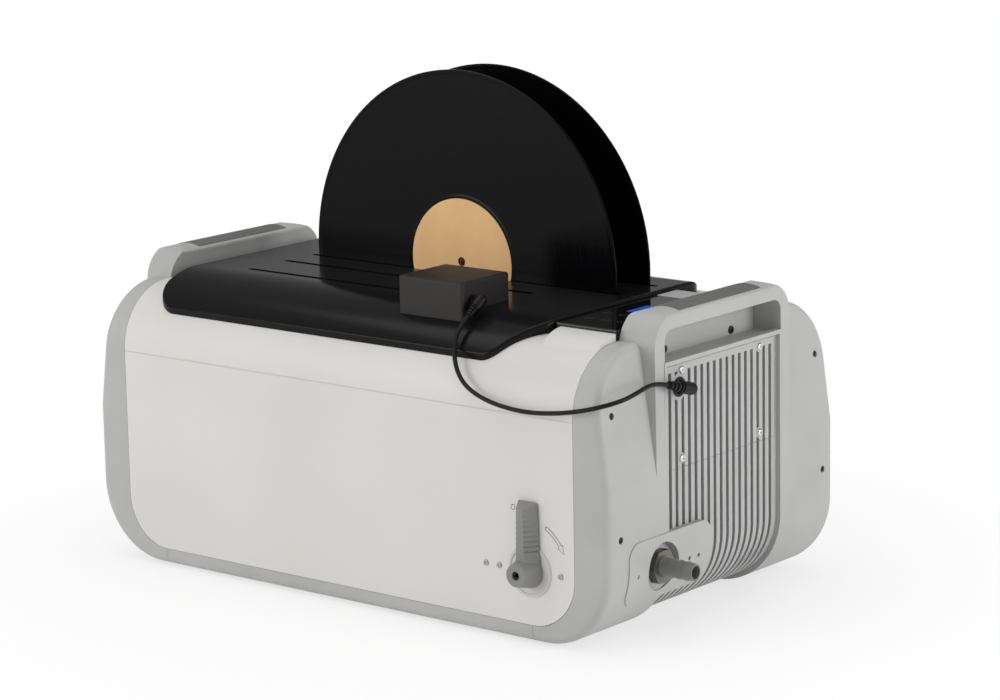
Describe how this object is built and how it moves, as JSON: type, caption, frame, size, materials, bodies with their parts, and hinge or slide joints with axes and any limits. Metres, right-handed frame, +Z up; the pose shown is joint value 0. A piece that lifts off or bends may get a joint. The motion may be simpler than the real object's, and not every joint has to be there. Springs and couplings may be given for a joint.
{
  "type": "record cleaning machine",
  "caption": "Ultrasonic record cleaning machine: tank housing with side handles and louvres, slotted lid with roller drive, two discs in place, drain lever and hose tail.",
  "frame": {"origin": "on the floor under the middle of the housing, where the feet stand", "axes": "+X to the right along the long front, -Y is the front with the drain lever, +Z up"},
  "size_m": [0.541, 0.3106, 0.3937],
  "materials": {
    "panel_white": "fine textured off-white paint",
    "cap_grey": "fine textured mid-grey moulding",
    "inlay_grey": "ribbed soft grip strip",
    "deck_grey": "fine textured grey moulding",
    "lid_black": "satin textured black moulding",
    "box_black": "textured black moulding",
    "panel_black": "polished black membrane panel",
    "window_blue": "blue display window",
    "steel_sheet": "deep-drawn stainless sheet",
    "steel_bright": "bright plated screws",
    "screw_dark": "blackened screws",
    "rubber_black": "matt black rubber",
    "roller_rubber": "soft ground rubber",
    "valve_brass": "turned brass",
    "tail_grey": "grey moulded hose tail",
    "nut_olive": "dull plated hexagon nut",
    "lever_grey": "textured dark grey lever",
    "motor_metal": "plated motor can",
    "gear_white": "natural acetal",
    "carrier_black": "moulded carriage",
    "belt_black": "moulded belt",
    "record_vinyl": "pressed black vinyl",
    "label_paper": "plain tan printed paper",
    "board_green": "circuit board and its components",
    "ceramic_metal": "transducer blocks",
    "fan_black": "moulded fan",
    "inlet_black": "moulded connector",
    "cord_black": "black jacketed lead"
  },
  "bodies": {
    "housing": {"front_panel": "panel_white", "rear_panel": "panel_white", "panel_screws": "steel_bright", "base_pan": "cap_grey", "feet": "rubber_black", "right_end_cap": "cap_grey", "left_end_cap": "cap_grey", "right_louvre_cover": "cap_grey", "left_louvre_cover": "cap_grey", "right_handle_inlay": "inlay_grey", "left_handle_inlay": "inlay_grey", "cover_screws": "steel_bright", "cap_screws": "screw_dark", "grip_screws": "screw_dark", "top_deck": "deck_grey", "tank": "steel_sheet", "transducers": "ceramic_metal", "drain_pipe": "steel_sheet", "valve_body": "valve_brass", "hose_tail": "tail_grey", "tail_nut": "nut_olive", "drain_plate": "cap_grey", "lever_escutcheon": "cap_grey", "control_panel": "panel_black", "display_window": "window_blue", "generator_board": "board_green", "fan_frame": "fan_black", "power_inlet": "inlet_black", "rocker_frame": "inlet_black", "dc_jack": "inlet_black", "supply_plug": "inlet_black", "cord": "cord_black"},
    "fan": {"fan_rotor": "fan_black"},
    "rocker": {"rocker_switch": "inlet_black"},
    "lever": {"drain_lever": "lever_grey", "lever_screw": "screw_dark", "valve_stem": "valve_brass"},
    "lid": {"lid": "lid_black", "motor_box": "box_black", "motor_jack": "inlet_black", "box_screws": "screw_dark", "gear_motor": "motor_metal", "roller_carrier": "carrier_black", "carrier_screws": "steel_bright", "drive_belt": "belt_black", "motor_plug": "inlet_black"},
    "drive_axle": {"drive_shaft": "steel_sheet", "shaft_pulley": "gear_white", "drive_rollers": "roller_rubber"},
    "idle_axle": {"idle_shaft": "steel_sheet", "idle_rollers": "roller_rubber"},
    "ten_roller": {"ten_inch_roller": "roller_rubber"},
    "seven_roller": {"seven_inch_roller": "roller_rubber"},
    "wheel": {"drive_wheel": "gear_white"},
    "pinion": {"motor_pinion": "steel_sheet"},
    "disc_front": {"record_front": "record_vinyl", "label_front": "label_paper"},
    "disc_rear": {"record_rear": "record_vinyl", "label_rear": "label_paper"}
  },
  "joints": [
    {"name": "lid_lift", "type": "slide", "parent": "housing", "child": "lid", "axis": [0, 0, 1], "range_m": [0, 0.14], "deforming": ["cord"]},
    {"name": "drain_lever_turn", "type": "hinge", "parent": "housing", "child": "lever", "pos_m": [0.184, -0.145, 0.0555], "axis": [0, 1, 0], "range_deg": [0, 90]},
    {"name": "record_front_spin", "type": "hinge", "parent": "lid", "child": "disc_front", "pos_m": [0, 0.0072, 0.2427], "axis": [0, 1, 0], "continuous": true},
    {"name": "record_rear_spin", "type": "hinge", "parent": "lid", "child": "disc_rear", "pos_m": [0, 0.0499, 0.2427], "axis": [0, 1, 0], "continuous": true},
    {"name": "drive_shaft_spin", "type": "hinge", "parent": "lid", "child": "drive_axle", "pos_m": [-0.1453, 0, 0.175], "axis": [0, 1, 0], "continuous": true},
    {"name": "idle_shaft_spin", "type": "hinge", "parent": "lid", "child": "idle_axle", "pos_m": [0.1453, 0, 0.175], "axis": [0, 1, 0], "continuous": true},
    {"name": "drive_wheel_spin", "type": "hinge", "parent": "lid", "child": "wheel", "pos_m": [0.06675, 0, 0.2117], "axis": [0, 1, 0], "continuous": true},
    {"name": "motor_pinion_spin", "type": "hinge", "parent": "lid", "child": "pinion", "pos_m": [0.06675, 0, 0.2427], "axis": [0, 1, 0], "continuous": true},
    {"name": "ten_inch_roller_spin", "type": "hinge", "parent": "lid", "child": "ten_roller", "pos_m": [0.08405, 0, 0.175], "axis": [0, 1, 0], "continuous": true},
    {"name": "seven_inch_roller_spin", "type": "hinge", "parent": "lid", "child": "seven_roller", "pos_m": [0.01204, 0, 0.175], "axis": [0, 1, 0], "continuous": true},
    {"name": "fan_spin", "type": "hinge", "parent": "housing", "child": "fan", "pos_m": [0.235, 0, 0.144], "axis": [1, 0, 0], "continuous": true},
    {"name": "rocker_tilt", "type": "hinge", "parent": "housing", "child": "rocker", "pos_m": [-0.1, 0.143, 0.062], "axis": [-1, 0, 0], "range_deg": [0, 20]}
  ],
  "couplings": [
    {"joint": "record_rear_spin", "follows": "record_front_spin", "ratio": 1},
    {"joint": "drive_shaft_spin", "follows": "record_front_spin", "ratio": -16.778},
    {"joint": "idle_shaft_spin", "follows": "record_front_spin", "ratio": -16.778},
    {"joint": "drive_wheel_spin", "follows": "record_front_spin", "ratio": -16.778},
    {"joint": "motor_pinion_spin", "follows": "record_front_spin", "ratio": 57.524}
  ]
}
